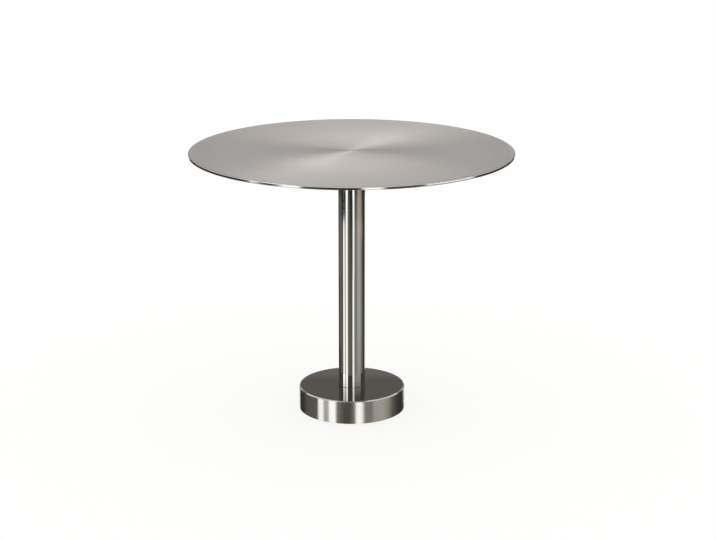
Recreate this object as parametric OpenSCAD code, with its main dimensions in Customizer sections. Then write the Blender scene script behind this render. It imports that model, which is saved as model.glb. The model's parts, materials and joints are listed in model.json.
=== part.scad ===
// Pedestal side table in stainless steel: a round plate on a tube, on a weighted round base.
// A tie rod inside the tube pulls the flange under the top down towards the ballast in the base.
// Millimetres. The origin is on the floor under the middle of the base, and +Z is up.

/* [Table top] */
// Height of the table top's upper face above the floor
table_h = 500; // [350:10:750]
// Diameter of the table top
top_d = 600; // [450:10:800]
// Thickness of the table top's plate
top_t = 5; // [4:0.5:8]
// Bright chamfer along the table top's upper edge
top_chamfer = 1; // [0.5:0.25:2]
// Smaller chamfer along the table top's lower edge
top_lower_chamfer = 0.5; // [0.25:0.25:1.5]

/* [Post] */
// Outer diameter of the post's tube
post_d = 50; // [45:1:60]
// Wall of the post's tube
post_wall = 2; // [1.5:0.5:3]

/* [Base] */
// Outer diameter of the base
base_d = 200; // [190:5:300]
// Height of the base above the floor
base_h = 45; // [40:1:70]
// Wall of the base's steel cover, side and top alike
cover_wall = 3; // [2:0.5:4]
// Bright chamfer around the cover's top edge
cover_chamfer = 2; // [1:0.25:3]
// Small chamfer around the cover's foot and its hole
cover_small_chamfer = 0.5; // [0.25:0.25:0.75]
// Dark gap all round the post where it enters the cover
foot_gap = 1.5; // [1:0.25:3]
// Gap all round the ballast and bottom plate, filled with adhesive on the real table
bond_gap = 0.2; // [0.1:0.05:0.3]
// Height of the cover's lower edge above the floor
floor_gap = 1; // [0.5:0.25:1.5]
// Thickness of the bottom plate
plate_t = 3; // [3:0.5:5]
// Room all round the lower nut for a socket spanner, in the bottom plate's hole
spanner_gap = 5.5; // [4:0.5:8]
// How far the pocket in the ballast is wider than that hole, all round
pocket_lip = 2; // [1.5:0.5:4]

/* [Floor ring and plug] */
// Thickness of the rubber ring that the table stands on
ring_t = 2; // [1.5:0.25:3]
// Distance from the base's outer edge in to the rubber ring
ring_inset = 8; // [5:1:15]
// Width of the rubber ring's band
ring_band = 24; // [15:1:26]
// Thickness of the access plug's cap
plug_cap_t = 1; // [0.75:0.25:1.25]
// Overlap of the plug's cap on the bottom plate, all round
plug_cap_lip = 3; // [2:0.5:5]
// Wall of the plug's sleeve
plug_wall = 1.5; // [1:0.25:2]
// Height of the barb that holds the plug above the bottom plate
plug_barb_h = 1.5; // [1:0.25:2]
// How far the barb reaches past the plug's sleeve
plug_barb = 0.6; // [0.3:0.1:0.8]

/* [Flange under the top] */
// Diameter of the flange
flange_d = 160; // [150:5:220]
// Thickness of the flange
flange_t = 6; // [5:0.5:10]
// Chamfer along the flange's lower edge
flange_chamfer = 1; // [0.5:0.25:2]
// Boss of the upper spigot, which is welded into a hole in the middle of the flange
boss_d = 30; // [26:1:34]
// Thickness of the cork gasket between flange and top
gasket_t = 1; // [1:0.25:2]

/* [Studs under the top] */
// Number of studs welded to the table top
stud_count = 4; // [3, 4, 6]
// Diameter of the circle that the studs stand on
stud_circle_d = 120; // [95:5:130]
// Thread diameter of a stud
stud_d = 6; // [5:0.5:6]
// Collar of a stud, where it is welded to the top
stud_collar_d = 7.5; // [7:0.25:8]
// Thickness of that collar
stud_collar_t = 0.8; // [0.5:0.1:1]
// Thread that stands out of the nut
stud_spare = 2; // [1:0.5:4]
// Clearance all round a stud in the flange and in its washer
stud_gap = 0.3; // [0.2:0.05:0.5]
// Clearance all round a stud's collar in the gasket
collar_gap = 0.75; // [0.5:0.25:1.5]
// Width across flats of a stud's nut
stud_nut_af = 10; // [9:0.5:11]
// Height of a stud's nut
stud_nut_h = 5; // [4:0.5:6]
// Outer diameter of a stud's washer
stud_washer_d = 12; // [11:0.5:14]
// Thickness of a stud's washer
stud_washer_t = 1.6; // [1:0.1:2]

/* [Spigots in the tube] */
// Length of the upper spigot inside the tube
top_spigot_h = 22; // [15:1:40]
// Length of the lower spigot inside the tube
foot_spigot_h = 16; // [10:1:30]
// Diameter of the lower spigot's register in the ballast
register_d = 30; // [24:1:36]
// Depth of that register
register_h = 6; // [4:0.5:8]
// Lead-in chamfer of that register
register_chamfer = 0.5; // [0.25:0.25:1]
// Lead-in chamfer of both spigots in the tube
spigot_chamfer = 1.5; // [0.5:0.25:2]
// Clearance all round where a spigot, a boss or a sleeve fits into its hole
fit_gap = 0.1; // [0.05:0.05:0.15]

/* [Tie rod] */
// Thread diameter of the tie rod
rod_d = 12; // [10:0.5:12]
// Clearance all round the tie rod in the ballast, the lower spigot and the flat washer
rod_gap = 0.5; // [0.25:0.25:1]
// Thread of the tie rod that stands out of its lower nut
rod_spare = 2; // [1:0.5:4]
// How far the tie rod's upper end stays below the flange's upper face
rod_top_gap = 1; // [0.5:0.5:3]
// Width across flats of the tie rod's nuts
rod_nut_af = 18; // [17:0.5:19]
// Height of the lower nut
rod_nut_h = 10; // [8:0.5:11]
// Height of the thin jam nut under the upper spigot
jam_nut_h = 6; // [5:0.5:8]
// Outer diameter of the tie rod's flat washer
rod_washer_d = 24; // [22:1:28]
// Thickness of the tie rod's flat washer
rod_washer_t = 2.5; // [2:0.25:3]
// Outer diameter of the split spring washer
spring_washer_d = 20; // [18:0.5:22]
// Thickness of the split spring washer
spring_washer_t = 2.5; // [2:0.25:3]
// Width of the split in the spring washer
spring_washer_split = 1.5; // [1:0.25:3]
// Free depth of the pocket below the tie rod's end
pocket_spare = 1; // [0.5:0.5:2]
// Clearance all round a thread in its nut or its tapped hole
thread_gap = 0.05; // [0.02:0.01:0.1]
// Chamfer on the ends of studs and tie rod
thread_chamfer = 0.8; // [0.4:0.1:1.2]

/* [Bottom plate screws] */
// Number of screws that hold the bottom plate
screw_count = 4; // [3, 4, 6]
// Diameter of the circle that the screws stand on
screw_circle_d = 96; // [80:2:110]
// Thread diameter of a screw
screw_d = 5; // [4:0.5:6]
// Diameter of a screw's countersunk head
screw_head_d = 10; // [9:0.5:11]
// Straight rim of a screw's head, above its cone
screw_land = 0.3; // [0.2:0.1:0.4]
// Length of a screw's thread in the ballast
screw_grip = 9; // [6:1:14]
// Free depth of the tapped hole past the screw's end
screw_hole_spare = 2; // [1:0.5:4]
// Width across flats of the hexagon socket in a screw's head
screw_socket_af = 3; // [2:0.5:3]
// Depth of that socket
screw_socket_depth = 1.8; // [1:0.2:2.2]

/* [Hidden] */
$fn = 128;

// Finishes, as red, green and blue
brushed_steel = [0.73, 0.72, 0.70];
satin_steel = [0.66, 0.65, 0.63];
plated_steel = [0.60, 0.61, 0.62];
cast_iron = [0.24, 0.24, 0.25];
black_rubber = [0.06, 0.06, 0.06];
black_nylon = [0.10, 0.10, 0.11];
cork_rubber = [0.38, 0.28, 0.19];

// Cuts run this far past the faces that they open
past = 1;

// Heights from the floor up to the top of the base
plate_z = ring_t;
ballast_z = plate_z + plate_t;
seat_z = base_h - cover_wall;

// Heights from the table top down to the upper end of the tube
top_z = table_h - top_t;
gasket_z = top_z - gasket_t;
flange_z = gasket_z - flange_t;
washer_z = flange_z - stud_washer_t;
stud_len = gasket_t + flange_t + stud_washer_t + stud_nut_h + stud_spare;

// Diameters inside the tube and inside the cover
post_bore_d = post_d - 2 * post_wall;
spigot_d = post_bore_d - 2 * fit_gap;
cover_bore_d = base_d - 2 * cover_wall;
ballast_d = cover_bore_d - 2 * bond_gap;
ring_d = base_d - 2 * ring_inset;

// Clearance holes for the tie rod, the studs and the boss
rod_hole_d = rod_d + 2 * rod_gap;
stud_hole_d = stud_d + 2 * stud_gap;
boss_hole_d = boss_d + 2 * fit_gap;

// The pocket under the ballast holds the lower washers and nut, from its seat down
pocket_depth = rod_washer_t + spring_washer_t + rod_nut_h + rod_spare + pocket_spare;
nut_seat_z = ballast_z + pocket_depth;
rod_low_z = ballast_z + pocket_spare;
rod_high_z = gasket_z - rod_top_gap;

// The cone of a countersunk head has 45 degree sides
screw_cone_h = (screw_head_d - screw_d) / 2;

// A hexagon's corners lie on this circle
function across_corners(flats) = flats / cos(30);

// A socket spanner reaches the lower nut through this hole and turns in this pocket
plate_hole_d = across_corners(rod_nut_af) + 2 * spanner_gap;
pocket_d = plate_hole_d + 2 * pocket_lip;

// Copies of the children around the axis, the first one half a step from +X
module around(count, circle_d) {
    for (i = [0 : count - 1])
        rotate([0, 0, (i + 0.5) * 360 / count])
            translate([circle_d / 2, 0, 0])
                children();
}

// A flat ring standing on z = 0
module ring(outer_d, hole_d, h) {
    difference() {
        cylinder(h = h, d = outer_d);
        translate([0, 0, -past])
            cylinder(h = h + 2 * past, d = hole_d);
    }
}

// A plain thread with a chamfer at each end, standing on z = 0
module thread(d, h) {
    end_d = d - 2 * thread_chamfer;
    rotate_extrude()
        polygon([
            [0, 0], [end_d / 2, 0], [d / 2, thread_chamfer],
            [d / 2, h - thread_chamfer], [end_d / 2, h], [0, h]
        ]);
}

// A hexagon nut with its corners turned off at both ends, standing on z = 0
module hex_nut(flats, h, thread_d) {
    corner_r = across_corners(flats) / 2;
    face_r = flats / 2;
    turned_h = (corner_r - face_r) / 2;
    difference() {
        intersection() {
            cylinder(h = h, r = corner_r, $fn = 6);
            rotate_extrude()
                polygon([
                    [0, 0], [face_r, 0], [corner_r, turned_h],
                    [corner_r, h - turned_h], [face_r, h], [0, h]
                ]);
        }
        translate([0, 0, -past])
            cylinder(h = h + 2 * past, d = thread_d + 2 * thread_gap);
    }
}

// The round plate that things are put on
module table_top() {
    r = top_d / 2;
    color(brushed_steel)
        translate([0, 0, top_z])
            rotate_extrude()
                polygon([
                    [0, 0], [r - top_lower_chamfer, 0], [r, top_lower_chamfer],
                    [r, top_t - top_chamfer], [r - top_chamfer, top_t], [0, top_t]
                ]);
}

// Threaded studs welded by their collars to the underside of the table top
module weld_studs() {
    color(plated_steel)
        around(stud_count, stud_circle_d)
            translate([0, 0, top_z - stud_len]) {
                thread(stud_d, stud_len);
                translate([0, 0, stud_len - stud_collar_t])
                    cylinder(h = stud_collar_t, d = stud_collar_d);
            }
}

// Thin cork and rubber sheet that keeps the steel top from ringing on its flange
module damping_gasket() {
    color(cork_rubber)
        translate([0, 0, gasket_z])
            difference() {
                ring(flange_d, boss_hole_d, gasket_t);
                around(stud_count, stud_circle_d)
                    translate([0, 0, -past])
                        cylinder(h = gasket_t + 2 * past, d = stud_collar_d + 2 * collar_gap);
            }
}

// Round plate that the table top is bolted to
module top_flange() {
    r = flange_d / 2;
    color(plated_steel)
        translate([0, 0, flange_z])
            difference() {
                rotate_extrude()
                    polygon([
                        [boss_hole_d / 2, 0], [r - flange_chamfer, 0], [r, flange_chamfer],
                        [r, flange_t], [boss_hole_d / 2, flange_t]
                    ]);
                around(stud_count, stud_circle_d)
                    translate([0, 0, -past])
                        cylinder(h = flange_t + 2 * past, d = stud_hole_d);
            }
}

// Turned plug in the upper end of the tube, tapped for the tie rod and welded into the flange
module top_spigot() {
    r = spigot_d / 2;
    boss_r = boss_d / 2;
    color(plated_steel)
        translate([0, 0, flange_z - top_spigot_h])
            difference() {
                rotate_extrude()
                    polygon([
                        [0, 0], [r - spigot_chamfer, 0], [r, spigot_chamfer],
                        [r, top_spigot_h], [boss_r, top_spigot_h],
                        [boss_r, top_spigot_h + flange_t], [0, top_spigot_h + flange_t]
                    ]);
                translate([0, 0, -past])
                    cylinder(h = top_spigot_h + flange_t + 2 * past, d = rod_d + 2 * thread_gap);
            }
}

module stud_washers() {
    color(plated_steel)
        around(stud_count, stud_circle_d)
            translate([0, 0, washer_z])
                ring(stud_washer_d, stud_hole_d, stud_washer_t);
}

module stud_nuts() {
    color(plated_steel)
        around(stud_count, stud_circle_d)
            translate([0, 0, washer_z - stud_nut_h])
                hex_nut(stud_nut_af, stud_nut_h, stud_d);
}

// The post, from its seat on the ballast to the underside of the flange
module post_tube() {
    color(satin_steel)
        translate([0, 0, seat_z])
            ring(post_d, post_bore_d, flange_z - seat_z);
}

module tie_rod() {
    color(plated_steel)
        translate([0, 0, rod_low_z])
            thread(rod_d, rod_high_z - rod_low_z);
}

// Locks the tie rod in the upper spigot
module rod_jam_nut() {
    color(plated_steel)
        translate([0, 0, flange_z - top_spigot_h - jam_nut_h])
            hex_nut(rod_nut_af, jam_nut_h, rod_d);
}

// Turned plug that centres the tube's lower end on the ballast
module foot_spigot() {
    r = spigot_d / 2;
    register_r = register_d / 2;
    full_h = register_h + foot_spigot_h;
    color(plated_steel)
        translate([0, 0, seat_z - register_h])
            difference() {
                rotate_extrude()
                    polygon([
                        [0, 0], [register_r - register_chamfer, 0],
                        [register_r, register_chamfer], [register_r, register_h],
                        [r, register_h], [r, full_h - spigot_chamfer],
                        [r - spigot_chamfer, full_h], [0, full_h]
                    ]);
                translate([0, 0, -past])
                    cylinder(h = full_h + 2 * past, d = rod_hole_d);
            }
}

// Steel shell over the ballast: a round cup turned upside down, with a hole for the post
module base_cover() {
    r = base_d / 2;
    bore_r = cover_bore_d / 2;
    hole_r = post_d / 2 + foot_gap;
    edge = cover_small_chamfer;
    color(brushed_steel)
        rotate_extrude()
            polygon([
                [bore_r, floor_gap], [r - edge, floor_gap], [r, floor_gap + edge],
                [r, base_h - cover_chamfer], [r - cover_chamfer, base_h],
                [hole_r + edge, base_h], [hole_r, base_h - edge],
                [hole_r, seat_z], [bore_r, seat_z]
            ]);
}

// Heavy disc that carries the post and keeps the table upright
module base_ballast() {
    color(cast_iron)
        translate([0, 0, ballast_z])
            difference() {
                cylinder(h = seat_z - ballast_z, d = ballast_d);
                translate([0, 0, -past])
                    cylinder(h = seat_z - ballast_z + 2 * past, d = rod_hole_d);
                translate([0, 0, -past])
                    cylinder(h = pocket_depth + past, d = pocket_d);
                translate([0, 0, seat_z - ballast_z - register_h])
                    cylinder(h = register_h + past, d = register_d + 2 * fit_gap);
                around(screw_count, screw_circle_d)
                    translate([0, 0, -past])
                        cylinder(h = screw_grip + screw_hole_spare + past, d = screw_d + 2 * thread_gap);
            }
}

module rod_washer() {
    color(plated_steel)
        translate([0, 0, nut_seat_z - rod_washer_t])
            ring(rod_washer_d, rod_hole_d, rod_washer_t);
}

// Spring washer pressed flat under the lower nut, with its split to the front
module rod_spring_washer() {
    color(plated_steel)
        translate([0, 0, nut_seat_z - rod_washer_t - spring_washer_t])
            difference() {
                ring(spring_washer_d, rod_d + 2 * fit_gap, spring_washer_t);
                translate([-spring_washer_split / 2, -spring_washer_d / 2 - past, -past])
                    cube([spring_washer_split, spring_washer_d / 2 + past, spring_washer_t + 2 * past]);
            }
}

module rod_nut() {
    color(plated_steel)
        translate([0, 0, rod_low_z + rod_spare])
            hex_nut(rod_nut_af, rod_nut_h, rod_d);
}

// Cone and rim of a countersunk head, head down on z = 0, drawn larger by a clearance
module countersunk_head(clearance) {
    r = screw_head_d / 2 + clearance;
    rotate_extrude()
        polygon([
            [0, -clearance], [r, -clearance], [r, screw_land],
            [screw_d / 2 + clearance, screw_land + screw_cone_h],
            [0, screw_land + screw_cone_h]
        ]);
}

// Closes the base from below
module bottom_plate() {
    color(plated_steel)
        translate([0, 0, plate_z])
            difference() {
                ring(ballast_d, plate_hole_d, plate_t);
                around(screw_count, screw_circle_d) {
                    countersunk_head(fit_gap);
                    cylinder(h = plate_t + past, d = screw_d + 2 * fit_gap);
                }
            }
}

// Countersunk screws from the bottom plate up into the ballast
module plate_screws() {
    color(plated_steel)
        around(screw_count, screw_circle_d)
            translate([0, 0, plate_z])
                difference() {
                    union() {
                        countersunk_head(0);
                        cylinder(h = plate_t + screw_grip, d = screw_d);
                    }
                    translate([0, 0, -past])
                        cylinder(h = screw_socket_depth + past, d = across_corners(screw_socket_af), $fn = 6);
                }
}

// Push-in plug that hides the tie rod's nut: a cap with a barbed sleeve
module access_plug() {
    sleeve_r = plate_hole_d / 2 - fit_gap;
    inner_r = sleeve_r - plug_wall;
    cap_r = plate_hole_d / 2 + plug_cap_lip;
    barb_r = sleeve_r + plug_barb;
    barb_z = plate_t + fit_gap;
    color(black_nylon)
        translate([0, 0, plate_z])
            rotate_extrude()
                polygon([
                    [0, -plug_cap_t], [cap_r, -plug_cap_t], [cap_r, 0], [sleeve_r, 0],
                    [sleeve_r, barb_z], [barb_r, barb_z], [sleeve_r, barb_z + plug_barb_h],
                    [inner_r, barb_z + plug_barb_h], [inner_r, 0], [0, 0]
                ]);
}

// Rubber ring glued under the bottom plate
module floor_ring() {
    color(black_rubber)
        ring(ring_d, ring_d - 2 * ring_band, ring_t);
}

table_top();
weld_studs();
damping_gasket();
top_flange();
top_spigot();
stud_washers();
stud_nuts();
post_tube();
tie_rod();
rod_jam_nut();
foot_spigot();
base_cover();
base_ballast();
rod_washer();
rod_spring_washer();
rod_nut();
bottom_plate();
plate_screws();
access_plug();
floor_ring();
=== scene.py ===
import json
import math

import bmesh
import bpy
from bpy.props import FloatProperty, FloatVectorProperty, PointerProperty
from bpy.types import Operator, Panel, PropertyGroup
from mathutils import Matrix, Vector


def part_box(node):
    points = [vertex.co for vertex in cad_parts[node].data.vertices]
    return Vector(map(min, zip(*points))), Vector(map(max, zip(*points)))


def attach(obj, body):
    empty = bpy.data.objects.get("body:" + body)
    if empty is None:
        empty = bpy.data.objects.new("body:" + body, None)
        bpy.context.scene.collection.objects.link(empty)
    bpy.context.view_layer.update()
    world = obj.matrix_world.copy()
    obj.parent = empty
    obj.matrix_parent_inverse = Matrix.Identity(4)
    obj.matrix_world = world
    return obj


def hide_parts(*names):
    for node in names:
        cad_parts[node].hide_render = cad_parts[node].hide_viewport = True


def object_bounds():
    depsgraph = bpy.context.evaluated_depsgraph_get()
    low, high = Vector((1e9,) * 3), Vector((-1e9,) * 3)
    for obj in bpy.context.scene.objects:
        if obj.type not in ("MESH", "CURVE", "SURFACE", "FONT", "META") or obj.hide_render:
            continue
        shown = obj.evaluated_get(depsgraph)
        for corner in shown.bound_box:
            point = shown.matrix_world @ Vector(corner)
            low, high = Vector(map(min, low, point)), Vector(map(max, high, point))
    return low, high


bl_info = {
    "name": "Pedestal side table",
    "version": (1, 0, 0),
    "blender": (4, 5, 0),
    "location": "View3D > Sidebar > Side Table",
    "description": "Round stainless steel side table on a tube and a weighted base, with its studio",
    "category": "Object",
}

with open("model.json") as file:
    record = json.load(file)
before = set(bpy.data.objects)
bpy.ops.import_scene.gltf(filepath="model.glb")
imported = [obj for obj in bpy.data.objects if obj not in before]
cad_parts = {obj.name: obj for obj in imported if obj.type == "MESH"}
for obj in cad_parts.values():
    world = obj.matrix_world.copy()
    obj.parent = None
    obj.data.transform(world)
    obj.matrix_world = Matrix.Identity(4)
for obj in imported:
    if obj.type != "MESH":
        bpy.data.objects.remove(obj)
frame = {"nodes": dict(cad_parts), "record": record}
CAD_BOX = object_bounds()
NODES = frame["nodes"]
BODY = "root"
MM = 0.001


def reach(node):
    """Outer radius, lowest and highest point of a CAD node that is round about the post's axis."""
    low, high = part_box(node)
    return high.x, low.z, high.z


# Segments of a full turn, for large round pieces, for small ones and for threads
LARGE_TURN = 256
SMALL_TURN = 64
THREAD_TURN = 24
# Points that lie closer than this are made one
MERGE_GAP = 0.001 * MM
# Edges that turn by more than the first are sharp, and faces that turn by less than the second are one
SHARP_ANGLE = math.radians(30)
FLAT_ANGLE = math.radians(0.5)
# A face whose normal rises by more than this is level
LEVEL = 0.99
# One turn of a thread, as shares of its depth and of its pitch
THREAD_PROFILE = ((0, 0), (0, 0.2), (1, 0.55), (1, 0.65), (0, 1))


class TableSizes(PropertyGroup):
    """Sizes of the details that the CAD solids leave plain, or that a new piece has to repeat."""

    top_chamfer: FloatProperty(
        name="Top chamfer", description="Bright chamfer along the top's upper edge",
        default=1 * MM, unit="LENGTH"
    )
    top_lower_chamfer: FloatProperty(
        name="Lower chamfer", description="Chamfer along the top's lower edge",
        default=0.5 * MM, unit="LENGTH"
    )
    eased_band: FloatProperty(
        name="Eased band", description="Width of the band along the rim where the brushed face falls away",
        default=8 * MM, unit="LENGTH"
    )
    eased_fall: FloatProperty(
        name="Eased fall", description="How far the brushed face has fallen where its chamfer starts",
        default=0.37 * MM, unit="LENGTH"
    )
    post_wall: FloatProperty(
        name="Post wall", description="Wall of the post's tube", default=2 * MM, unit="LENGTH"
    )
    cover_wall: FloatProperty(
        name="Cover wall", description="Wall of the base's cover", default=3 * MM, unit="LENGTH"
    )
    cover_chamfer: FloatProperty(
        name="Cover chamfer", description="Bright chamfer around the cover's top",
        default=2 * MM, unit="LENGTH"
    )
    foot_gap: FloatProperty(
        name="Foot gap", description="Dark gap between the post and the hole in the cover",
        default=1 * MM, unit="LENGTH"
    )
    ring_band: FloatProperty(
        name="Ring band", description="Width of the rubber ring's band", default=24 * MM, unit="LENGTH"
    )
    groove_depth: FloatProperty(
        name="Groove depth", description="Depth of the grooves under the rubber ring",
        default=0.5 * MM, unit="LENGTH"
    )
    weld_leg: FloatProperty(
        name="Weld leg", description="Height and width of the weld at the post's head",
        default=3 * MM, unit="LENGTH"
    )
    stud_diameter: FloatProperty(
        name="Stud", description="Diameter of the studs' thread", default=6 * MM, unit="LENGTH"
    )
    collar_diameter: FloatProperty(
        name="Stud collar", description="Diameter of the studs' weld collar",
        default=7.5 * MM, unit="LENGTH"
    )
    collar_height: FloatProperty(
        name="Collar height", description="Height of the studs' weld collar",
        default=0.8 * MM, unit="LENGTH"
    )
    thread_pitch: FloatProperty(
        name="Thread pitch", description="Rise of the studs' thread in one turn",
        default=1 * MM, unit="LENGTH"
    )
    thread_depth: FloatProperty(
        name="Thread depth", description="Depth of the studs' thread", default=0.6 * MM, unit="LENGTH"
    )
    edge_round: FloatProperty(
        name="Edge rounding", description="Width of the rounding on machined edges",
        default=0.2 * MM, unit="LENGTH"
    )


class TableColours(PropertyGroup):
    """Colours of the table's finishes."""

    top_steel: FloatVectorProperty(
        name="Top", description="Brushed steel of the top",
        default=(0.682, 0.652, 0.640), subtype="COLOR"
    )
    edge_steel: FloatVectorProperty(
        name="Edges", description="Polished steel of chamfers and rims",
        default=(0.72, 0.71, 0.68), subtype="COLOR"
    )
    post_steel: FloatVectorProperty(
        name="Post", description="Satin steel of the post", default=(0.66, 0.65, 0.62), subtype="COLOR"
    )
    base_steel: FloatVectorProperty(
        name="Base", description="Turned steel of the base", default=(0.66, 0.65, 0.62), subtype="COLOR"
    )
    zinc: FloatVectorProperty(
        name="Zinc", description="Zinc plating of fixings", default=(0.56, 0.57, 0.58), subtype="COLOR"
    )
    iron: FloatVectorProperty(
        name="Iron", description="Cast iron of the ballast",
        default=(0.13, 0.13, 0.135), subtype="COLOR"
    )
    cork: FloatVectorProperty(
        name="Cork", description="Cork and rubber sheet", default=(0.20, 0.115, 0.06), subtype="COLOR"
    )
    nylon: FloatVectorProperty(
        name="Nylon", description="Moulded black nylon", default=(0.018, 0.018, 0.02), subtype="COLOR"
    )
    rubber: FloatVectorProperty(
        name="Rubber", description="Black rubber of the floor ring",
        default=(0.014, 0.014, 0.014), subtype="COLOR"
    )


class StudioSettings(PropertyGroup):
    """Camera and light."""

    lens: FloatProperty(
        name="Lens", description="Focal length in millimetres", default=90.9
    )
    distance: FloatProperty(
        name="Distance", description="Camera's distance in front of the post",
        default=3.261, unit="LENGTH"
    )
    height: FloatProperty(
        name="Height", description="Camera's height above the floor", default=1.196, unit="LENGTH"
    )
    aside: FloatProperty(
        name="Aside", description="Camera's distance to the right of the post",
        default=0.0117, unit="LENGTH"
    )
    pitch: FloatProperty(
        name="Pitch", description="How far the camera looks down",
        default=math.radians(15.84), unit="ROTATION"
    )
    low_key: FloatProperty(
        name="Low key", description="Brightness of the lower key light as the metal mirrors it",
        default=1.3
    )
    high_key: FloatProperty(
        name="High key", description="Brightness of the upper key light as the metal mirrors it",
        default=2.0
    )
    backdrop: FloatVectorProperty(
        name="Backdrop", description="Colour behind the table",
        default=(0.98, 0.98, 0.975), subtype="COLOR"
    )


def settings():
    return bpy.context.scene.side_table_sizes


def colours():
    return bpy.context.scene.side_table_colours


# Modelling


def select_only(piece):
    bpy.ops.object.select_all(action="DESELECT")
    bpy.context.view_layer.objects.active = piece
    piece.select_set(True)


def edit(piece):
    """Opens a piece in edit mode, with all its vertices selected."""
    select_only(piece)
    bpy.ops.object.mode_set(mode="EDIT")
    bpy.ops.mesh.select_mode(type="VERT")
    bpy.ops.mesh.select_all(action="SELECT")


def leave_edit():
    bpy.ops.object.mode_set(mode="OBJECT")


def pick_faces(piece, test):
    """Selects the faces that pass a test, and nothing else."""
    bpy.ops.mesh.select_mode(type="FACE")
    bpy.ops.mesh.select_all(action="DESELECT")
    mesh = bmesh.from_edit_mesh(piece.data)
    for face in mesh.faces:
        if test(face):
            face.select_set(True)
    bmesh.update_edit_mesh(piece.data)


def start_circle(name, vertices, radius, place):
    """A ring of vertices as a new piece, open in edit mode."""
    bpy.ops.mesh.primitive_circle_add(
        vertices=vertices, radius=radius, fill_type="NOTHING", location=place
    )
    piece = bpy.context.object
    piece.name = piece.data.name = name
    bpy.ops.object.transform_apply(location=True, rotation=False, scale=False)
    edit(piece)
    return piece


def turned_piece(name, outline, turn=LARGE_TURN):
    """A circle drawn out and resized along an outline of radius and height, as on a lathe.

    An outline that comes back to its first point gives a ring. Any other is closed by flat ends.
    """
    piece = start_circle(name, turn, outline[0][0], (0, 0, outline[0][1]))
    for (radius, height), (next_radius, next_height) in zip(outline, outline[1:]):
        share = next_radius / radius
        bpy.ops.mesh.extrude_region()
        bpy.ops.transform.translate(value=(0, 0, next_height - height))
        bpy.ops.transform.resize(value=(share, share, 1))
    bpy.ops.mesh.select_all(action="SELECT")
    bpy.ops.mesh.remove_doubles(threshold=MERGE_GAP)
    if outline[0] != outline[-1]:
        bpy.ops.mesh.fill_holes(sides=0)
        flat_end = math.pi * min(outline[0][0], outline[-1][0]) ** 2 / 2
        pick_faces(piece, lambda face: face.calc_area() > flat_end and len(face.verts) == turn)
        bpy.ops.mesh.poke()
    bpy.ops.mesh.select_all(action="SELECT")
    bpy.ops.mesh.normals_make_consistent(inside=False)
    leave_edit()
    return piece


def drawn_line(name, points):
    """A line drawn from point to point, each given as its distance from the Z axis and its height."""
    piece = start_circle(name, 3, MM, (points[0][0], 0, points[0][1]))
    bpy.ops.mesh.merge(type="CENTER")
    for (radius, height), (next_radius, next_height) in zip(points, points[1:]):
        bpy.ops.mesh.extrude_region()
        bpy.ops.transform.translate(value=(next_radius - radius, 0, next_height - height))
    leave_edit()
    return piece


def threaded_rod(name, radius, depth, pitch, low, high):
    """A rod with a thread up its whole length, wound by a Screw modifier and cut flat at both ends."""
    start = low - 2 * pitch
    root = radius - depth
    rod = drawn_line(name, [(root + out * depth, start + up * pitch) for out, up in THREAD_PROFILE])
    turns = math.ceil((high - start) / pitch) + 1
    apply_modifier(
        rod, "SCREW", axis="Z", angle=math.tau, screw_offset=pitch, iterations=turns,
        steps=THREAD_TURN, render_steps=THREAD_TURN, use_merge_vertices=False,
    )
    edit(rod)
    bpy.ops.mesh.remove_doubles(threshold=MERGE_GAP)
    for height, way in ((low, -1), (high, 1)):
        bpy.ops.mesh.select_all(action="SELECT")
        bpy.ops.mesh.bisect(
            plane_co=(0, 0, height), plane_no=(0, 0, way), use_fill=True, clear_outer=True,
            threshold=0.1 * MERGE_GAP,
        )
    bpy.ops.mesh.select_all(action="SELECT")
    bpy.ops.mesh.normals_make_consistent(inside=False)
    leave_edit()
    return rod


def combine(piece, other, operation):
    """Unites or intersects a piece with another one, which is used up."""
    apply_modifier(piece, "BOOLEAN", object=other, operation=operation, solver="EXACT")
    bpy.data.objects.remove(other)


def spread_copies(piece, places):
    """Copies a piece to each place, with a mesh of its own, and joins the copies in one piece."""
    name = piece.name
    bpy.ops.object.select_all(action="DESELECT")
    for place in places:
        copy = bpy.data.objects.new(name, piece.data.copy())
        bpy.context.collection.objects.link(copy)
        copy.location = place
        copy.select_set(True)
        bpy.context.view_layer.objects.active = copy
    bpy.data.objects.remove(piece)
    bpy.ops.object.transform_apply(location=True, rotation=False, scale=False)
    bpy.ops.object.join()
    joined = bpy.context.object
    joined.name = joined.data.name = name
    return joined


def softened_copy(name, node):
    """A copy of a CAD node with its triangles joined into faces, ready for its edges to be rounded."""
    piece = bpy.data.objects.new(name, NODES[node].data.copy())
    bpy.context.collection.objects.link(piece)
    piece.data.name = name
    piece.data.materials.clear()
    edit(piece)
    bpy.ops.mesh.customdata_custom_splitnormals_clear()
    bpy.ops.mesh.remove_doubles(threshold=MERGE_GAP)
    bpy.ops.mesh.dissolve_limited(angle_limit=FLAT_ANGLE)
    leave_edit()
    return piece


def apply_modifier(piece, kind, **values):
    select_only(piece)
    modifier = piece.modifiers.new(kind.lower(), kind)
    for key, value in values.items():
        setattr(modifier, key, value)
    bpy.ops.object.modifier_apply(modifier=modifier.name)


def round_edges(piece, width, steps=2):
    """Rounds every sharp edge, and shades the piece smooth."""
    apply_modifier(
        piece, "BEVEL", width=width, segments=steps, limit_method="ANGLE", angle_limit=SHARP_ANGLE
    )
    bpy.ops.object.shade_smooth()
    apply_modifier(piece, "WEIGHTED_NORMAL", mode="FACE_AREA", weight=100)


def dress(piece, materials, choose=None):
    """Gives a piece its materials, face by face if choose is given, and lets it ride on the table."""
    for material in materials:
        piece.data.materials.append(material)
    if choose:
        for face in piece.data.polygons:
            face.material_index = choose(face)
    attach(piece, BODY)


# Shader building


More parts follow.
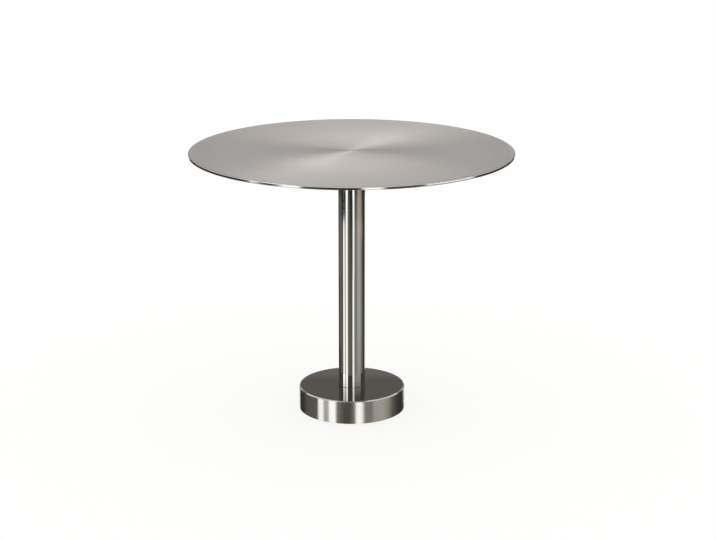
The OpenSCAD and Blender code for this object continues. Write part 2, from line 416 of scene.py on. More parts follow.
def add_node(tree, kind, inputs=None, **values):
    """Adds a node, sets its own values, and fills its inputs with numbers or links."""
    made = tree.nodes.new(kind)
    for key, value in values.items():
        setattr(made, key, value)
    for key, value in (inputs or {}).items():
        if isinstance(value, bpy.types.NodeSocket):
            tree.links.new(value, made.inputs[key])
        else:
            made.inputs[key].default_value = value
    return made


def math_node(tree, operation, *values):
    return add_node(tree, "ShaderNodeMath", dict(enumerate(values)), operation=operation).outputs[0]


def vector_node(tree, operation, inputs):
    return add_node(tree, "ShaderNodeVectorMath", inputs, operation=operation).outputs


def noise(tree, place, scale, detail, **others):
    inputs = {"Vector": place, "Scale": scale, "Detail": detail, **others}
    return add_node(tree, "ShaderNodeTexNoise", inputs).outputs[0]


def ramp(tree, value, low, high, to_low, to_high, kind="LINEAR"):
    """Maps a value from one range to another."""
    ends = {"Value": value, "From Min": low, "From Max": high, "To Min": to_low, "To Max": to_high}
    return add_node(tree, "ShaderNodeMapRange", ends, interpolation_type=kind).outputs[0]


def level_curve(tree, value, stops, kind="EASE"):
    """Colours that follow a value from 0 to 1, given as places and colours."""
    made = add_node(tree, "ShaderNodeValToRGB", {0: value})
    made.color_ramp.interpolation = kind
    elements = made.color_ramp.elements
    while len(elements) < len(stops):
        elements.new(0.5)
    for element, (at, colour) in zip(elements, stops):
        element.position = at
        element.color = (*colour, 1)
    return made.outputs[0]


def blend_colours(tree, mask, first, second, kind="MIX"):
    """Mixes two colours by a mask. Each colour is three numbers or a socket."""
    made = tree.nodes.new("ShaderNodeMix")
    made.data_type = "RGBA"
    made.blend_type = kind
    # Of the Mix node's sockets, input 0 is the factor, 6 and 7 are the colours, and output 2 the result
    for key, value in ((0, mask), (6, first), (7, second)):
        if isinstance(value, bpy.types.NodeSocket):
            tree.links.new(value, made.inputs[key])
        elif key == 0:
            made.inputs[key].default_value = value
        else:
            made.inputs[key].default_value = (*value, 1)
    return made.outputs[2]


def shade(colour, share):
    return tuple(share * part for part in colour)


def new_group(name, inputs, outputs):
    """An empty node group that takes a position and some numbers and gives numbers, and its sockets."""
    tree = bpy.data.node_groups.new(name, "ShaderNodeTree")
    tree.interface.new_socket("Position", in_out="INPUT", socket_type="NodeSocketVector")
    for socket, default in inputs.items():
        made = tree.interface.new_socket(socket, in_out="INPUT", socket_type="NodeSocketFloat")
        made.default_value = default
    for socket in outputs:
        tree.interface.new_socket(socket, in_out="OUTPUT", socket_type="NodeSocketFloat")
    return tree, tree.nodes.new("NodeGroupInput").outputs, tree.nodes.new("NodeGroupOutput").inputs


def turned_lines_group():
    """Lines that a tool or a belt leaves round the post's axis, on flat and on upright faces alike.

    Fineness is lines per metre, and Breaks says how often a line changes in one turn.
    """
    tree, given, out = new_group("turned_lines", {"Fineness": 400, "Breaks": 2}, ("Lines", "Broad"))
    parts = add_node(tree, "ShaderNodeSeparateXYZ", {0: given["Position"]}).outputs
    flat = add_node(tree, "ShaderNodeCombineXYZ", {"X": parts["X"], "Y": parts["Y"]}).outputs[0]
    radius = vector_node(tree, "LENGTH", {0: flat})["Value"]
    way_round = vector_node(tree, "NORMALIZE", {0: flat})[0]
    spread = vector_node(tree, "SCALE", {0: way_round, "Scale": given["Breaks"]})[0]
    travel = math_node(tree, "ADD", radius, parts["Z"])
    across = math_node(tree, "MULTIPLY", travel, given["Fineness"])
    lift = add_node(tree, "ShaderNodeCombineXYZ", {"Z": across}).outputs[0]
    place = vector_node(tree, "ADD", {0: spread, 1: lift})[0]
    tree.links.new(noise(tree, place, 1, 4, Roughness=0.65), out["Lines"])
    wide = math_node(tree, "MULTIPLY", across, 0.06)
    wide_lift = add_node(tree, "ShaderNodeCombineXYZ", {"Z": wide}).outputs[0]
    wide_place = vector_node(tree, "ADD", {0: way_round, 1: wide_lift})[0]
    tree.links.new(noise(tree, wide_place, 1, 2, Roughness=0.5), out["Broad"])
    return tree


def handling_marks_group():
    """Faint cloudy marks that cloths and hands leave on bare metal and plastic."""
    tree, given, out = new_group("handling_marks", {"Size": 0.05}, ("Marks",))
    scale = math_node(tree, "DIVIDE", 1.0, given["Size"])
    cloud = noise(tree, given["Position"], scale, 3, Distortion=0.6)
    tree.links.new(ramp(tree, cloud, 0.48, 0.68, 0, 1, "SMOOTHSTEP"), out["Marks"])
    return tree


def grain_group():
    """Fine irregular grain of cast, moulded and pressed surfaces. Size is the width of a grain."""
    tree, given, out = new_group("grain", {"Size": 0.001}, ("Grain", "Flecks"))
    scale = math_node(tree, "DIVIDE", 1.0, given["Size"])
    place = given["Position"]
    tree.links.new(noise(tree, place, scale, 3), out["Grain"])
    cells = add_node(tree, "ShaderNodeTexVoronoi", {"Vector": place, "Scale": scale, "Randomness": 1})
    tree.links.new(cells.outputs["Distance"], out["Flecks"])
    return tree


# Shader groups that the materials share
GROUPS = {"turned_lines": turned_lines_group, "handling_marks": handling_marks_group, "grain": grain_group}


def placed(tree, name, **inputs):
    """Outputs of a shared group, fed with the piece's own coordinates and the material's values."""
    shared = bpy.data.node_groups.get(name) or GROUPS[name]()
    made = add_node(tree, "ShaderNodeGroup", node_tree=shared)
    tree.links.new(add_node(tree, "ShaderNodeTexCoord").outputs["Object"], made.inputs["Position"])
    for key, value in inputs.items():
        made.inputs[key.title()].default_value = value
    return made.outputs


def new_material(name, **constants):
    """A material with one Principled shader, whose constants are set on its own sockets."""
    material = bpy.data.materials.new(name)
    material.use_nodes = True
    tree = material.node_tree
    shader = tree.nodes["Principled BSDF"]
    for key, value in constants.items():
        shader.inputs[key.replace("_", " ").title()].default_value = value
    return material, tree, shader


def feed(tree, shader, colour, roughness=None):
    """Links a shader's colour, and its roughness where that varies."""
    tree.links.new(colour, shader.inputs["Base Color"])
    if roughness is not None:
        tree.links.new(roughness, shader.inputs["Roughness"])


def set_bump(tree, shader, height, depth, strength=1.0):
    bump = add_node(tree, "ShaderNodeBump", {"Height": height, "Distance": depth, "Strength": strength})
    tree.links.new(bump.outputs[0], shader.inputs["Normal"])


# How the top changes from its middle to its rim, each at a share of the radius: shares of its roughness,
# which follow its circular brushing, and shares of its colour, which are painted shade darkening its middle
# and rim
TOP_ROUGHNESS = (
    (0.10, 0.97), (0.167, 1.0), (0.267, 0.91), (0.367, 0.88), (0.467, 0.85), (0.567, 0.74),
    (0.667, 0.665), (0.783, 0.65), (0.90, 0.65), (0.975, 0.63), (0.99, 0.36),
)
# Shares of the top's colour: painted shade, darker at the middle and at the rim
TOP_PAINTED_SHADE = (
    (0.10, 0.94), (0.167, 0.975), (0.267, 0.993), (0.367, 1.0), (0.667, 1.0), (0.783, 0.98), (0.90, 0.947),
)


def over_radius(tree, levels):
    """A value that changes with the distance from the middle of the table's top."""
    rim, _, height = reach("table_top")
    place = add_node(tree, "ShaderNodeTexCoord").outputs["Object"]
    middle = (0, 0, height)
    distance = vector_node(tree, "DISTANCE", {0: place, 1: middle})["Value"]
    stops = [(at, (share,) * 3) for at, share in levels]
    return level_curve(tree, ramp(tree, distance, 0, rim, 0, 1), stops)


def turned_steel(
    name, colour, roughness, fineness, anisotropy, contrast, groove=0.004 * MM,
    painted_shades=None, roughnesses=None,
):
    """Steel with the lines of a belt or a turning tool round the post's axis.

    The lines stretch every highlight across themselves, which the shader's own anisotropy gives.
    Where painted shade is given, it darkens the steel's colour over the top's radius, and where roughnesses
    are given, they change its roughness there.
    """
    material, tree, shader = new_material(name, Metallic=1.0, Anisotropic=anisotropy)
    shader.inputs["Anisotropic Rotation"].default_value = 0.25
    tangent = add_node(tree, "ShaderNodeTangent", direction_type="RADIAL", axis="Z")
    tree.links.new(tangent.outputs[0], shader.inputs["Tangent"])
    lines = placed(tree, "turned_lines", fineness=fineness, breaks=2.0)
    marks = placed(tree, "handling_marks", size=0.09)
    toned = blend_colours(tree, lines["Lines"], shade(colour, 1 - contrast), shade(colour, 1 + contrast))
    banded = blend_colours(tree, lines["Broad"], (0.97, 0.97, 0.97), (1, 1, 1))
    tone = blend_colours(tree, 1.0, toned, banded, "MULTIPLY")
    lined = ramp(tree, lines["Lines"], 0.3, 0.7, roughness * 1.12, roughness * 0.88)
    marked = math_node(tree, "MULTIPLY", marks["Marks"], roughness * 0.06)
    rough = math_node(tree, "ADD", lined, marked)
    # Painted shade: the colour is darkened over the top's radius
    if painted_shades:
        tone = blend_colours(tree, 1.0, tone, over_radius(tree, painted_shades), "MULTIPLY")
    if roughnesses:
        rough = math_node(tree, "MULTIPLY", rough, over_radius(tree, roughnesses))
    feed(tree, shader, tone, rough)
    set_bump(tree, shader, lines["Lines"], groove)
    return material


def polished_steel(name, colour, roughness=0.07):
    """Buffed chamfers and rims, with the faintest of cloudy marks."""
    material, tree, shader = new_material(name, Metallic=1.0)
    marks = placed(tree, "handling_marks", size=0.03)
    tone = blend_colours(tree, marks["Marks"], colour, shade(colour, 0.96))
    feed(tree, shader, tone, ramp(tree, marks["Marks"], 0, 1, roughness, roughness * 1.6))
    return material


def plated_steel(name, colour, roughness):
    """Zinc plating: a fine crystalline bloom with slightly uneven brightness."""
    material, tree, shader = new_material(name, Metallic=1.0)
    grain = placed(tree, "grain", size=0.5 * MM)
    marks = placed(tree, "handling_marks", size=0.012)
    bloom = blend_colours(tree, grain["Grain"], shade(colour, 0.92), shade(colour, 1.07))
    tone = blend_colours(tree, marks["Marks"], bloom, shade(colour, 0.9))
    feed(tree, shader, tone, ramp(tree, grain["Flecks"], 0, 1, roughness * 0.9, roughness * 1.3))
    set_bump(tree, shader, grain["Grain"], 0.003 * MM, 0.5)
    return material


def cast_iron(name, colour):
    """Dark turned cast iron with its pores."""
    material, tree, shader = new_material(name, Metallic=1.0)
    grain = placed(tree, "grain", size=0.8 * MM)
    lines = placed(tree, "turned_lines", fineness=900, breaks=1.0)
    toned = blend_colours(tree, grain["Grain"], shade(colour, 0.7), shade(colour, 1.5))
    feed(tree, shader, toned, ramp(tree, lines["Lines"], 0.2, 0.8, 0.45, 0.7))
    set_bump(tree, shader, grain["Grain"], 0.05 * MM, 0.6)
    return material


def cork_rubber(name, colour):
    """Pressed cork crumbs in rubber."""
    material, tree, shader = new_material(name, Roughness=0.85)
    crumbs = placed(tree, "grain", size=1.6 * MM)
    toned = blend_colours(tree, crumbs["Flecks"], shade(colour, 1.9), shade(colour, 0.35))
    spotted = blend_colours(tree, crumbs["Grain"], toned, shade(colour, 0.8))
    feed(tree, shader, spotted)
    set_bump(tree, shader, crumbs["Flecks"], 0.1 * MM, 0.7)
    return material


def black_nylon(name, colour):
    """Moulded nylon with a fine spark-eroded skin."""
    material, tree, shader = new_material(name)
    skin = placed(tree, "grain", size=0.35 * MM)
    marks = placed(tree, "handling_marks", size=0.01)
    toned = blend_colours(tree, marks["Marks"], colour, shade(colour, 1.8))
    feed(tree, shader, toned, ramp(tree, skin["Grain"], 0.2, 0.8, 0.38, 0.55))
    set_bump(tree, shader, skin["Grain"], 0.02 * MM, 0.6)
    return material


def black_rubber(name, colour):
    """Matt rubber with a dusty bloom."""
    material, tree, shader = new_material(name)
    skin = placed(tree, "grain", size=0.6 * MM)
    dust = placed(tree, "handling_marks", size=0.015)
    toned = blend_colours(tree, dust["Marks"], colour, shade(colour, 1.8))
    feed(tree, shader, toned, ramp(tree, dust["Marks"], 0, 1, 0.62, 0.85))
    set_bump(tree, shader, skin["Grain"], 0.03 * MM, 0.6)
    return material


def weld_bead(name, colour, head, ripples=96, lean=10.0):
    """Ripples of a hand-laid weld, with straw and blue heat tint.

    The ripples lean by so many radians per metre below the post's head.
    """
    material, tree, shader = new_material(name, Metallic=1.0)
    place = add_node(tree, "ShaderNodeTexCoord").outputs["Object"]
    parts = add_node(tree, "ShaderNodeSeparateXYZ", {0: place}).outputs
    angle = math_node(tree, "ARCTAN2", parts["Y"], parts["X"])
    below = math_node(tree, "SUBTRACT", head, parts["Z"])
    curved = math_node(tree, "ADD", angle, math_node(tree, "MULTIPLY", below, lean))
    wave = math_node(tree, "SINE", math_node(tree, "MULTIPLY", curved, ripples))
    height = ramp(tree, wave, -1, 1, 0, 1)
    straw = (colour[0] * 1.05, colour[1] * 0.9, colour[2] * 0.62)
    blue = (colour[0] * 0.7, colour[1] * 0.78, colour[2] * 1.05)
    marks = placed(tree, "handling_marks", size=0.012)
    tinted = blend_colours(tree, marks["Marks"], straw, blue)
    tone = blend_colours(tree, height, shade(colour, 0.8), tinted)
    feed(tree, shader, tone, ramp(tree, height, 0, 1, 0.42, 0.25))
    set_bump(tree, shader, height, 0.15 * MM)
    return material


# Finish of each of the record's material slots
SLOT_FINISHES = {
    "brushed_top": "circular_brushed",
    "satin_post": "satin_tube",
    "turned_base": "turned_cover",
    "flange_steel": "as_turned",
    "plate_steel": "zinc_sheet",
    "plated_fasteners": "bright_zinc",
    "ballast_iron": "grey_casting",
    "cork_rubber": "cork_sheet",
    "black_nylon": "moulded_nylon",
    "black_rubber": "matt_rubber",
}

# Materials, each made from its name and the table's colours
FINISHES = {
    "circular_brushed": lambda name, c: turned_steel(
        name, c.top_steel, 0.517, 700, anisotropy=0.767, contrast=0.035,
        painted_shades=TOP_PAINTED_SHADE, roughnesses=TOP_ROUGHNESS,
    ),
    "brushed_underside": lambda name, c: turned_steel(
        name, c.top_steel, 0.36, 300, anisotropy=0.5, contrast=0.06
    ),
    "polished_edge": lambda name, c: polished_steel(name, c.edge_steel),
    # The top's rim: polished steel with its roughness a little raised, as ground, and its colour darkened
    # to 0.7, which is painted shade
    "ground_rim_painted_shade": lambda name, c: polished_steel(name, shade(c.edge_steel, 0.7), 0.09),
    "satin_tube": lambda name, c: turned_steel(
        name, c.post_steel, 0.04, 1500, anisotropy=0.5, contrast=0.04, groove=0.0002 * MM
    ),
    "turned_cover": lambda name, c: turned_steel(
        name, c.base_steel, 0.15, 900, anisotropy=0.3, contrast=0.07, groove=0.001 * MM
    ),
    "faced_cover": lambda name, c: turned_steel(
        name, c.base_steel, 0.03, 400, anisotropy=0.5, contrast=0.14, groove=0.0003 * MM
    ),
    "as_turned": lambda name, c: turned_steel(name, c.zinc, 0.34, 700, anisotropy=0.6, contrast=0.12),
    "zinc_sheet": lambda name, c: plated_steel(name, c.zinc, 0.34),
    "bright_zinc": lambda name, c: plated_steel(name, c.zinc, 0.26),
    "grey_casting": lambda name, c: cast_iron(name, c.iron),
    "cork_sheet": lambda name, c: cork_rubber(name, c.cork),
    "moulded_nylon": lambda name, c: black_nylon(name, c.nylon),
    "matt_rubber": lambda name, c: black_rubber(name, c.rubber),
    "welded_steel": lambda name, c: weld_bead(name, c.zinc, reach("post_tube")[2]),
}


def finish(name):
    """The material of that name, made when it is first asked for."""
    return bpy.data.materials.get(name) or FINISHES[name](name, colours())


def slot_finish(slot):
    return finish(SLOT_FINISHES[slot])


# Pieces


def soften_nodes(*rows):
    """Makes copies of CAD nodes with rounded edges, each given as its name, node, slot and rounding."""
    for name, node, slot, width in rows:
        piece = softened_copy(name, node)
        round_edges(piece, width)
        dress(piece, [slot_finish(slot)])
        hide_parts(node)


class SIDETABLE_OT_make_top(Operator):
    """Turn the round top, with its bright chamfer and rim"""

    bl_idname = "side_table.make_top"
    bl_label = "Top"
    eased_steps = 6

    def execute(self, context):
        sizes = settings()
        radius, low, high = reach("table_top")
        outline = [
            (radius - sizes.top_lower_chamfer, low),
            (radius, low + sizes.top_lower_chamfer),
            (radius, high - sizes.top_chamfer),
        ]
        for step in range(self.eased_steps + 1):
            share = step / self.eased_steps
            inward = sizes.top_chamfer + share * (sizes.eased_band - sizes.top_chamfer)
            outline.append((radius - inward, high - sizes.eased_fall * (1 - share) ** 2))
        piece = turned_piece("top_plate", outline)
        round_edges(piece, sizes.edge_round)
        rim = radius - sizes.top_chamfer - sizes.edge_round

        def choose(face):
            """0 for the brushed face, 1 for the polished rim, 2 for the underside."""
            if face.normal.z > LEVEL:
                return 0
            return 2 if face.normal.z < -LEVEL and face.center.xy.length < rim else 1

        # The rim's darker colour is painted shade
        faces = [finish("circular_brushed"), finish("ground_rim_painted_shade"), finish("brushed_underside")]
        dress(piece, faces, choose)
        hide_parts("table_top")
        return {"FINISHED"}


class SIDETABLE_OT_make_post(Operator):
    """Turn the post's tube and lay the weld at its head"""

    bl_idname = "side_table.make_post"
    bl_label = "Post"
    weld_steps = 6
    weld_bulge = 0.4

    def execute(self, context):
        sizes = settings()
        radius, low, high = reach("post_tube")
        bore = radius - sizes.post_wall
        outline = [(bore, low), (radius, low), (radius, high), (bore, high), (bore, low)]
        tube = turned_piece("post_shell", outline)
        round_edges(tube, sizes.edge_round)
        dress(tube, [finish("satin_tube")])
        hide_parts("post_tube")

        leg = sizes.weld_leg
        flat = 1 - self.weld_bulge
        outline = [(radius, high)]
        for step in range(self.weld_steps + 1):
            share = step / self.weld_steps
            turn = math.radians(90 * share)
            across = flat * (1 - share) + self.weld_bulge * math.cos(turn)
            down = flat * share + self.weld_bulge * math.sin(turn)
            outline.append((radius + leg * across, high - leg * down))
        outline.append((radius, high))
        weld = turned_piece("head_weld", outline)
        round_edges(weld, sizes.edge_round / 2)
        dress(weld, [finish("welded_steel")])
        return {"FINISHED"}


class SIDETABLE_OT_make_base(Operator):
    """Turn the base's cover, with its bright chamfer and the hole that the post goes through"""

    bl_idname = "side_table.make_base"
    bl_label = "Base"
    # The normals of the chamfer and of its rounded edges rise between these
    chamfer_rise = (0.05, 0.995)

    def execute(self, context):
        sizes = settings()
        radius, low, high = reach("base_cover")
        hole = reach("post_tube")[0] + sizes.foot_gap
        bore = radius - sizes.cover_wall
        ceiling = high - sizes.cover_wall
        piece = turned_piece("base_shell", [
            (bore, low), (radius, low), (radius, high - sizes.cover_chamfer),
            (radius - sizes.cover_chamfer, high), (hole, high), (hole, ceiling),
            (bore, ceiling), (bore, low),
        ])
        round_edges(piece, sizes.edge_round, steps=3)
        lowest, highest = self.chamfer_rise

        def choose(face):
            """0 for the turned side, 1 for the polished chamfer and 2 for the faced top."""
            outside = face.center.xy.length > bore
            if outside and lowest < face.normal.z < highest:
                return 1
            return 2 if face.normal.z > LEVEL else 0

        faces = [finish("turned_cover"), finish("polished_edge"), finish("faced_cover")]
        dress(piece, faces, choose)
        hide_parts("base_cover")
        return {"FINISHED"}


class SIDETABLE_OT_make_floor_ring(Operator):
    """Turn the rubber ring, with grooves in its underside"""

    bl_idname = "side_table.make_floor_ring"
    bl_label = "Floor ring"
    groove_count = 5

    def execute(self, context):
        sizes = settings()
        radius, low, high = reach("floor_ring")
        hole = radius - sizes.ring_band
        pitch = sizes.ring_band / (2 * self.groove_count + 1)
        outline = [(radius, low), (radius, high), (hole, high), (hole, low)]
        for groove in range(self.groove_count):
            start = hole + (2 * groove + 1) * pitch
            outline += [(start, low), (start, low + sizes.groove_depth)]
            outline += [(start + pitch, low + sizes.groove_depth), (start + pitch, low)]
        outline.append(outline[0])
        piece = turned_piece("rubber_ring", outline)
        round_edges(piece, sizes.edge_round)
        dress(piece, [finish("matt_rubber")])
        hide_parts("floor_ring")
        return {"FINISHED"}


class SIDETABLE_OT_make_studs(Operator):
    """Cut the thread of one stud, chamfer its end, add its weld collar and copy it to the four places"""

    bl_idname = "side_table.make_studs"
    bl_label = "Studs"
    # Part of a turn by which the thread starts below the stud's end
    thread_start = 0.37
    # How far the blank that cuts the stud's end stands clear of its thread, and the share of the thread's
    # depth that it takes off at the end
    blank_clear = 0.2 * MM
    end_share = 0.8

    def execute(self, context):
        sizes = settings()
        low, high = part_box("weld_studs")
        radius = sizes.stud_diameter / 2
        collar = sizes.collar_diameter / 2
        collar_low = high.z - sizes.collar_height
        thread_end = high.z - sizes.collar_height / 2
        stud = threaded_rod(
            "threaded_studs", radius, sizes.thread_depth, sizes.thread_pitch,
            low.z - self.thread_start * sizes.thread_pitch, thread_end,
        )
        blank = turned_piece("blank", [
            (radius - self.end_share * sizes.thread_depth, low.z),
            (radius + self.blank_clear, low.z + sizes.thread_depth + self.blank_clear),
            (radius + self.blank_clear, high.z),
        ], SMALL_TURN)
        combine(stud, blank, "INTERSECT")
        weld_collar = turned_piece("weld_collar", [
            (collar - sizes.edge_round, collar_low), (collar, collar_low + sizes.edge_round),
            (collar, high.z),
        ], SMALL_TURN)
        combine(stud, weld_collar, "UNION")
        bpy.ops.object.shade_smooth_by_angle(angle=SHARP_ANGLE)
        spread = high.x - collar
        places = [(x * spread, y * spread, 0) for x, y in ((1, 1), (-1, 1), (-1, -1), (1, -1))]
        studs = spread_copies(stud, places)
        dress(studs, [finish("bright_zinc")])
        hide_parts("weld_studs")
        return {"FINISHED"}


class SIDETABLE_OT_make_fixings(Operator):
    """Round the edges of the flange and of the studs' washers and nuts"""

    bl_idname = "side_table.make_fixings"
    bl_label = "Fixings under the top"

    def execute(self, context):
        width = settings().edge_round
        soften_nodes(
            ("flange_plate", "top_flange", "flange_steel", 2 * width),
            ("plain_washers", "stud_washers", "plated_fasteners", width),
            ("hexagon_nuts", "stud_nuts", "plated_fasteners", width),
        )
        return {"FINISHED"}


class SIDETABLE_OT_make_underside(Operator):
    """Round the edges of the bottom plate, its screws and the access plug"""

    bl_idname = "side_table.make_underside"
    bl_label = "Underside"

    def execute(self, context):
        width = settings().edge_round
        soften_nodes(
            ("closing_plate", "bottom_plate", "plate_steel", width),
            ("socket_screws", "plate_screws", "plated_fasteners", width / 2),
            ("push_in_plug", "access_plug", "black_nylon", width),
        )
        return {"FINISHED"}


class SIDETABLE_OT_finish_nodes(Operator):
    """Give the remaining CAD nodes the finish of their slot"""

    bl_idname = "side_table.finish_nodes"
    bl_label = "Inner pieces"

    def execute(self, context):
        slots = {part["node"]: part["material_slot"] for part in frame["record"]["subparts"]}
        for name, node in NODES.items():
            for place in node.material_slots:
                place.material = slot_finish(slots[name])
        return {"FINISHED"}


# Studio


# Softness of a softbox's two ends, in degrees
END_SOFT = 0.05


def studio_strip(tree, azimuth, elevation, centre, width, soft, low, high):
    """Mask of one upright softbox: its middle, width and soft edge round the table, and its two ends."""
    turn = math_node(tree, "SUBTRACT", azimuth, centre)
    aside = math_node(tree, "ABSOLUTE", math_node(tree, "WRAP", turn, -180.0, 180.0))
    across = ramp(tree, aside, width / 2 - soft, width / 2 + soft, 1, 0, "SMOOTHSTEP")
    from_below = ramp(tree, elevation, low - END_SOFT, low + END_SOFT, 0, 1, "SMOOTHSTEP")
    from_above = ramp(tree, elevation, high - END_SOFT, high + END_SOFT, 1, 0, "SMOOTHSTEP")
    return math_node(tree, "MULTIPLY", across, math_node(tree, "MULTIPLY", from_below, from_above))


WHITE = (1.0, 0.995, 0.98)
PALE = (1.0, 1.0, 0.95)
TAN = (1.10, 1.0, 0.885)
BROWN = (1.08, 0.98, 0.82)
UMBER = (1.12, 0.96, 0.68)
TAUPE = (1.06, 0.97, 0.90)
SAND = (1.09, 1.0, 0.88)

# Upright softboxes round the table, in degrees. Azimuth 0 is the camera's side, and positive is to the
# right. Seen from the front, the base mirrors what lies below -19.7, the post what lies between that and
# -13.4, the rim what lies just above, and the base's top, with the post in it, what lies near +19.4
SOFTBOXES = (
    # centre, width, soft edge, lower end, upper end, brightness, tint
    # for the base
    (58.5, 61, 18.0, -70, -19.7, 0.44, TAN),
    (-106.0, 34, 5.0, -70, -19.7, 0.125, BROWN),
    (-12.0, 24, 5.0, -70, -19.7, 0.07, UMBER),
    (-71.6, 14.4, 1.5, -70, -19.7, 1.5, WHITE),
    (-57.5, 14, 1.5, -70, -19.7, 0.41, PALE),
    (-29.0, 14, 6.0, -70, -19.7, 0.15, PALE),
    (-43.0, 17.2, 1.5, -70, -19.7, 1.5, WHITE),
    (4.0, 10, 4.0, -70, -19.7, 0.16, TAN),
    (35.5, 22.5, 2.0, -70, -19.7, 0.25, SAND),
    (17.6, 17.4, 1.5, -70, -19.7, 1.55, WHITE),
    # for the post
    (59.0, 60, 20.0, -19.7, -18.9, 0.37, PALE),
    (59.0, 62, 20.0, -18.9, -18.1, 0.43, PALE),
    (59.0, 62, 20.0, -18.1, -14.9, 0.49, PALE),
    (60.0, 70, 25.0, -14.9, -14.25, 0.54, TAN),
    (60.0, 66, 20.0, -14.25, -13.4, 0.42, TAN),
    (-114.0, 46, 8.0, -18.2, -16.0, 0.145, PALE),
    (-114.0, 46, 8.0, -16.0, -14.25, 0.18, PALE),
    (-118.0, 36, 8.0, -14.25, -13.4, 0.15, PALE),
    (-72.0, 14.6, 1.5, -19.7, -14.25, 1.5, WHITE),
    (-57.5, 14, 1.5, -19.7, -14.25, 0.63, PALE),
    (-27.5, 14, 6.0, -19.7, -13.4, 0.22, PALE),
    (-43.8, 16.4, 1.5, -19.7, -13.4, 1.5, WHITE),
    (34.0, 26, 2.0, -19.7, -14.25, 0.25, PALE),
    (33.0, 28, 2.0, -14.25, -13.4, 0.15, TAN),
    (14.2, 15.6, 2.5, -19.7, -16.0, 1.3, WHITE),
    (15.8, 15.0, 2.5, -16.0, -13.4, 1.3, WHITE),
    (158.0, 14, 3.0, -19.7, -13.4, 0.9, WHITE),
    # for the rim, and for the base as it is seen from below
    (-71.0, 6, 1.5, -13.1, 12, 2.2, WHITE),
    (-51.0, 8, 1.5, -13.4, 12, 0.55, WHITE),
    (-41.8, 14, 2.0, -13.4, 12, 2.2, WHITE),
    (34.3, 26, 2.0, -13.4, 12, 0.05, TAN),
    (14.7, 14, 2.0, -13.4, 12, 2.2, WHITE),
    (73.0, 42, 1.5, -13.1, -6, 2.0, WHITE),
    # for the base's top and the post's foot, and for the post as it is seen from below
    (0.0, 270, 6.0, 12, 27, 0.085, BROWN),
    (0.0, 176, 6.0, 27, 50, 0.12, BROWN),
    (57.0, 44, 12.0, 27, 50, 0.45, PALE),
    (-73.0, 15, 2.0, 12, 19.55, 2.9, WHITE),
    (-57.5, 14, 2.0, 12, 19.55, 1.15, PALE),
    (-43.5, 17, 2.0, 12, 19.55, 2.4, WHITE),
    (15.0, 16, 2.0, 12, 19.55, 2.2, WHITE),
    (57.0, 56, 10.0, 12, 19.55, 0.56, PALE),
    (-73.0, 13, 2.0, 19.55, 50, 1.0, WHITE),
    (-57.5, 13, 2.0, 19.55, 50, 0.6, PALE),
    (-43.5, 16, 2.0, 19.55, 50, 1.35, WHITE),
    (15.0, 15, 2.0, 19.55, 50, 1.1, WHITE),
    # behind the table, with dark flags that the base's top mirrors
    (180.0, 96, 3.0, 18.7, 20.4, 0.09, TAUPE),
    (180.0, 20, 4.0, 17.5, 19.2, 0.18, TAUPE),
    (180.0, 20, 4.0, 19.2, 22.0, 0.125, TAUPE),
    (180.0, 10, 2.0, -70, -4, 1.3, WHITE),
    (167.5, 6, 1.5, -70, -4, 1.0, WHITE),
    (-165.0, 9, 1.5, -70, -4, 1.0, WHITE),
    (160.0, 24, 2.0, -2, 14, 0.33, WHITE),
    (-160.0, 24, 2.0, -2, 14, 0.33, WHITE),
)

# Brightness of the studio's walls by elevation, in front of the table and behind it
FRONT_WALL = (
    (-90, 0.30), (-45, 0.25), (-28, 0.09), (-20, 0.09), (-18.8, 0.150), (-17.7, 0.146), (-15.3, 0.094),
    (-14.5, 0.076), (-13.8, 0.032), (0, 0.085), (20, 0.30), (32, 0.52), (48, 0.68), (62, 0.76),
)
BACK_WALL = (
    (-90, 0.30), (-45, 0.25), (-28, 0.04), (-12, 0.04), (0, 0.32), (5, 0.56), (12, 0.56), (18, 0.43),
    (26, 0.65), (34, 1.0), (48, 1.0), (62, 0.96),
)
# Azimuths, to either side, between which the wall in front passes into the one behind
WALLS_MEET = (95, 135)
# The studio's dark parts are browner than its light ones, up to a level that has the full light tint
WALL_TINTS = ((1.05, 0.98, 0.85), (1.0, 0.985, 0.96))
LIGHT_LEVEL = 0.4

# Directions of the two key lights, behind the table, to the left and high up, and the radius, the softness
# and the tint of their discs. The softness is a share of the radius
LOW_KEY_WAY = (-0.312, 0.562, 0.766)
HIGH_KEY_WAY = (-0.269, 0.473, 0.839)
KEY_RADIUS = math.radians(6)
KEY_SOFTNESS = 0.3
KEY_TINT = (1.0, 0.99, 0.97)
# Light on all that isn't a mirror
EVEN_LIGHT = (0.95, 0.95, 0.94)

# Width of the floor in metres, and its gap to the rubber ring
FLOOR_SIZE = 60
FLOOR_GAP = 0.3 * MM


def wall(tree, elevation, levels):
    """Colour of a wall, from its list of elevations and levels."""
    stops = []
    for height, level in levels:
        light = min(level / LIGHT_LEVEL, 1)
        tint = [dark + (pale - dark) * light for dark, pale in zip(*WALL_TINTS)]
        stops.append(((height + 90) / 180, shade(tint, level)))
    return level_curve(tree, ramp(tree, elevation, -90, 90, 0, 1), stops, "LINEAR")


